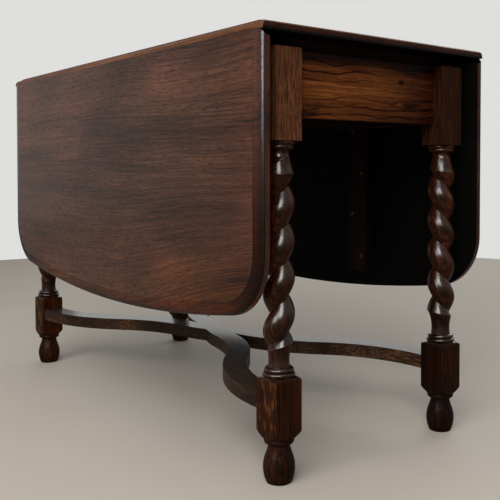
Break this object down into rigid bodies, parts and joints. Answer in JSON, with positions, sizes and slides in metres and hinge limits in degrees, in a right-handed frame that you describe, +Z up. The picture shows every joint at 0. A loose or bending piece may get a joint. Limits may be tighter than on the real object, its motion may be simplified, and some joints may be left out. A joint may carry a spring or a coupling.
{
  "type": "drop-leaf dining table",
  "caption": "Dark oak drop-leaf dining table with bow-edged leaves hung on rule joints, twist-turned legs and a serpentine cross stretcher; the leaves swing up and slides pull out.",
  "frame": {"origin": "on the floor under the middle of the table", "axes": "+X along the length of the table, +Y across it to the back leaf, +Z up"},
  "size_m": [1.104, 0.548, 0.756],
  "materials": {
    "oak_top": "glossy dark stained oak",
    "oak_turned": "glossy dark stained oak",
    "oak_rail": "satin stained oak, paler",
    "oak_hidden": "unfinished oak",
    "oak_peg": "unfinished oak",
    "iron_hinge": "dull dark iron",
    "steel_screw": "dull steel"
  },
  "bodies": {
    "frame": {"bearer_end_left": "oak_hidden", "bearer_end_right": "oak_hidden", "bearer_inner_guide_left": "oak_hidden", "bearer_inner_guide_right": "oak_hidden", "bearer_middle": "oak_hidden", "bearer_outer_guide_left": "oak_hidden", "bearer_outer_guide_right": "oak_hidden", "bearer_screws": "steel_screw", "corner_block_back_left": "oak_hidden", "corner_block_back_right": "oak_hidden", "corner_block_front_left": "oak_hidden", "corner_block_front_right": "oak_hidden", "corner_block_screws": "steel_screw", "end_rail_left": "oak_rail", "end_rail_right": "oak_rail", "hinge_pins": "iron_hinge", "hinge_screws_top": "steel_screw", "hinge_top_flap_back_left": "iron_hinge", "hinge_top_flap_back_middle": "iron_hinge", "hinge_top_flap_back_right": "iron_hinge", "hinge_top_flap_front_left": "iron_hinge", "hinge_top_flap_front_middle": "iron_hinge", "hinge_top_flap_front_right": "iron_hinge", "leg_back_left": "oak_turned", "leg_back_right": "oak_turned", "leg_front_left": "oak_turned", "leg_front_right": "oak_turned", "side_rail_back": "oak_rail", "side_rail_front": "oak_rail", "stretcher_lower": "oak_turned", "stretcher_screw": "steel_screw", "stretcher_upper": "oak_turned", "top_board": "oak_top", "top_screws": "steel_screw"},
    "leaf_front": {"batten_screws_front": "steel_screw", "hinge_leaf_flap_front_left": "iron_hinge", "hinge_leaf_flap_front_middle": "iron_hinge", "hinge_leaf_flap_front_right": "iron_hinge", "hinge_screws_leaf_front": "steel_screw", "leaf_batten_front_left": "oak_hidden", "leaf_batten_front_right": "oak_hidden", "leaf_front": "oak_top"},
    "leaf_back": {"batten_screws_back": "steel_screw", "hinge_leaf_flap_back_left": "iron_hinge", "hinge_leaf_flap_back_middle": "iron_hinge", "hinge_leaf_flap_back_right": "iron_hinge", "hinge_screws_leaf_back": "steel_screw", "leaf_back": "oak_top", "leaf_batten_back_left": "oak_hidden", "leaf_batten_back_right": "oak_hidden"},
    "loper_front_left": {"loper_front_left": "oak_hidden", "loper_peg_front_left": "oak_peg"},
    "loper_front_right": {"loper_front_right": "oak_hidden", "loper_peg_front_right": "oak_peg"},
    "loper_back_left": {"loper_back_left": "oak_hidden", "loper_peg_back_left": "oak_peg"},
    "loper_back_right": {"loper_back_right": "oak_hidden", "loper_peg_back_right": "oak_peg"}
  },
  "joints": [
    {"name": "leaf_front_fold", "type": "hinge", "parent": "frame", "child": "leaf_front", "pos_m": [0, -0.259, 0.741], "axis": [-1, 0, 0], "range_deg": [0, 90]},
    {"name": "loper_front_left_slide", "type": "slide", "parent": "frame", "child": "loper_front_left", "axis": [0, -1, 0], "range_m": [0, 0.02]},
    {"name": "loper_front_right_slide", "type": "slide", "parent": "frame", "child": "loper_front_right", "axis": [0, -1, 0], "range_m": [0, 0.02]},
    {"name": "leaf_back_fold", "type": "hinge", "parent": "frame", "child": "leaf_back", "pos_m": [0, 0.259, 0.741], "axis": [1, 0, 0], "range_deg": [0, 90]},
    {"name": "loper_back_left_slide", "type": "slide", "parent": "frame", "child": "loper_back_left", "axis": [0, 1, 0], "range_m": [0, 0.02]},
    {"name": "loper_back_right_slide", "type": "slide", "parent": "frame", "child": "loper_back_right", "axis": [0, 1, 0], "range_m": [0, 0.02]}
  ]
}
